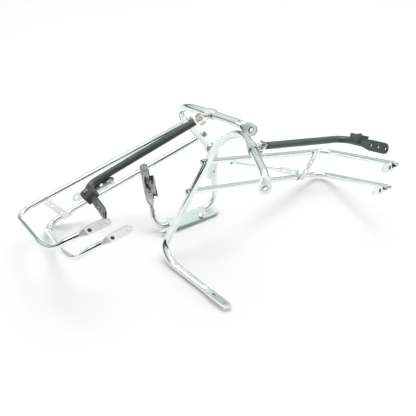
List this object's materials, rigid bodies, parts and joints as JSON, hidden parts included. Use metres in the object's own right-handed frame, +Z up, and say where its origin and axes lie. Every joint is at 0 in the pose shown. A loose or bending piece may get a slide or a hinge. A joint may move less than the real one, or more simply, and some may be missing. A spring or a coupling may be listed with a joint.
{
  "type": "motorbike pannier frame",
  "caption": "Chromed tube pannier frame for a motorbike: left and right side carriers with dark case bars, and a U-shaped rear bridge under the left one.",
  "frame": {"origin": "centre of the set's footprint, on the floor it stands on", "axes": "+X to the right along the set's longest extent, +Y away from the viewer, +Z up, as it stands in the picture"},
  "size_m": [0.783, 0.4792, 0.3948],
  "materials": {
    "chrome_tube": "bright chrome plate with fine scratches",
    "chrome_flat": "chrome plate, duller in the pressed parts",
    "bridge_steel": "plated steel, dull and stained",
    "guard_plate": "grey-green painted sheet",
    "bar_paint": "satin dark grey paint",
    "rubber": "matt black ribbed rubber",
    "zinc": "yellowed zinc plate"
  },
  "bodies": {
    "root": {"left_hoop": "chrome_tube", "left_lower_rail": "chrome_tube", "left_upper_rail": "chrome_tube", "right_brace": "chrome_tube", "right_hoop": "chrome_tube", "right_lower_rail": "chrome_tube", "right_upper_rail": "chrome_tube", "left_bar_clamp": "chrome_flat", "left_bar_eyelet": "chrome_flat", "left_cross_strip": "chrome_flat", "left_lower_rail_tab": "chrome_flat", "left_pad_strip": "chrome_flat", "left_upper_rail_tab": "chrome_flat", "right_bar_clamp": "chrome_flat", "right_bar_eyelet": "chrome_flat", "right_cross_strip": "chrome_flat", "right_lower_rail_tab": "chrome_flat", "right_upper_rail_tab": "chrome_flat", "bridge_left_bracket": "bridge_steel", "bridge_right_bracket": "bridge_steel", "bridge_tube": "bridge_steel", "bridge_plate": "guard_plate", "left_case_bar": "bar_paint", "right_case_bar": "bar_paint", "left_buffer_block": "rubber", "right_buffer_block": "rubber", "bridge_bracket_bolts": "zinc", "bridge_end_bolt": "zinc", "bridge_end_nut": "zinc", "bridge_plate_bolt": "zinc", "bridge_plate_nut": "zinc", "left_bar_bolt": "zinc", "left_bar_nut": "zinc", "left_buffer_screw": "zinc", "left_pad_strip_bolt": "zinc", "left_pad_strip_nut": "zinc", "left_rail_bolts": "zinc", "left_rail_washers": "zinc", "right_bar_bolt": "zinc", "right_bar_nut": "zinc", "right_buffer_screw": "zinc", "right_rail_bolts": "zinc", "right_rail_washers": "zinc"}
  },
  "joints": []
}
